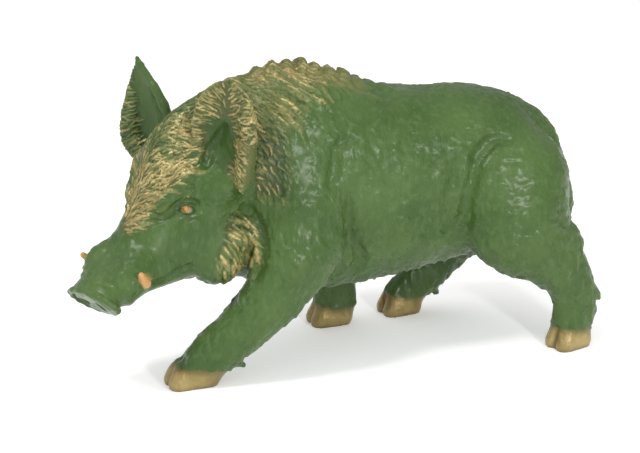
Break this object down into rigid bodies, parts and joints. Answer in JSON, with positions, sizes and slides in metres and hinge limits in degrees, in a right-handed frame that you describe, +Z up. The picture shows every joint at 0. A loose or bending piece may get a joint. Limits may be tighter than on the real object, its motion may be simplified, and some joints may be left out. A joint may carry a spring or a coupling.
{
  "type": "wild boar figure",
  "caption": "Standing wild boar figure cast in one piece, stepping forward with its head lowered and turned, ears up, mane raised; it stands on its four hooves.",
  "frame": {"origin": "on the ground under the middle of the figure's bounding box", "axes": "+Z up, +X from snout to rump, so the boar walks towards -X, and -Y is the boar's left side"},
  "size_m": [0.3384, 0.1202, 0.1958],
  "materials": {
    "painted_resin": "satin green paint on cast resin, with gold on hooves, eyes, tusks and the tips of the hair"
  },
  "bodies": {
    "root": {"boar_figure": "painted_resin"}
  },
  "joints": []
}
